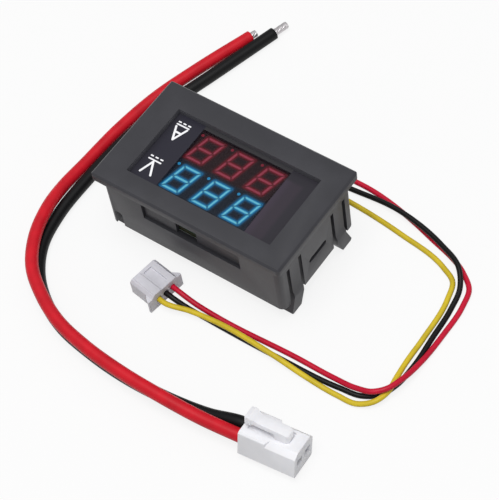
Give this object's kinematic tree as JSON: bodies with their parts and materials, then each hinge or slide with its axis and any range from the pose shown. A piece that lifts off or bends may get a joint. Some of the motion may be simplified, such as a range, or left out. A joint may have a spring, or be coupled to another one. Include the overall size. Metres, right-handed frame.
{
  "type": "digital panel meter",
  "caption": "Snap-in digital panel meter with a two-row lit display behind a dark window, spring legs, a circuit board with trimmers and two plug-in leads for voltage and current",
  "frame": {"origin": "middle of the meter's footprint, on the floor under the tips of its legs", "axes": "X to the reader's right along a row of digits, Y to the top of the digits, Z out of the display"},
  "size_m": [0.093, 0.0979, 0.022],
  "materials": {
    "housing_plastic": "fine satin moulding",
    "window_filter": "dark smoked film, semi-gloss",
    "display_plastic": "matt dark face",
    "volts_light": "lit segment",
    "amps_light": "lit segment",
    "tinned_metal": "dull bright tin",
    "board_laminate": "solder-resist lacquer",
    "chip_plastic": "moulded epoxy",
    "tantalum_plastic": "moulded epoxy",
    "resistor_ceramic": "glazed top",
    "capacitor_ceramic": "fired ceramic",
    "shunt_alloy": "drawn resistance wire",
    "white_nylon": "natural nylon, slightly milky",
    "trimmer_ceramic": "fired ceramic",
    "trimmer_metal": "stamped and plated",
    "red_insulation": "semi-gloss insulation",
    "black_insulation": "semi-gloss insulation",
    "yellow_insulation": "semi-gloss insulation"
  },
  "bodies": {
    "meter": {"housing": "housing_plastic", "filter_window": "window_filter", "display_case": "display_plastic", "volts_digits": "volts_light", "amps_digits": "amps_light", "display_pins": "tinned_metal", "circuit_board": "board_laminate", "microcontroller": "chip_plastic", "voltage_regulator": "chip_plastic", "protection_diode": "chip_plastic", "tantalum_capacitor": "tantalum_plastic", "chip_resistors": "resistor_ceramic", "chip_capacitors": "capacitor_ceramic", "shunt_wire": "shunt_alloy", "signal_header": "white_nylon", "signal_header_pins": "tinned_metal", "current_header": "white_nylon", "current_header_pins": "tinned_metal", "volts_trimmer_case": "trimmer_ceramic", "amps_trimmer_case": "trimmer_ceramic", "signal_plug": "white_nylon", "signal_plug_contacts": "tinned_metal", "thin_red_wire": "red_insulation", "thin_black_wire": "black_insulation", "thin_yellow_wire": "yellow_insulation", "thin_red_tip": "tinned_metal", "thin_black_tip": "tinned_metal", "thin_yellow_tip": "tinned_metal", "current_plug": "white_nylon", "current_plug_contacts": "tinned_metal", "thick_red_wire": "red_insulation", "thick_black_wire": "black_insulation", "thick_red_tip": "tinned_metal", "thick_black_tip": "tinned_metal"},
    "volts_trimmer": {"volts_trimmer_rotor": "trimmer_metal"},
    "amps_trimmer": {"amps_trimmer_rotor": "trimmer_metal"}
  },
  "joints": [
    {"name": "volts_trimmer_turn", "type": "hinge", "parent": "meter", "child": "volts_trimmer", "pos_m": [-0.0102, 0.0064, 0.0115], "axis": [0, 0, 1], "range_deg": [-130, 130]},
    {"name": "amps_trimmer_turn", "type": "hinge", "parent": "meter", "child": "amps_trimmer", "pos_m": [-0.0102, -0.0052, 0.0115], "axis": [0, 0, 1], "range_deg": [-130, 130]}
  ]
}
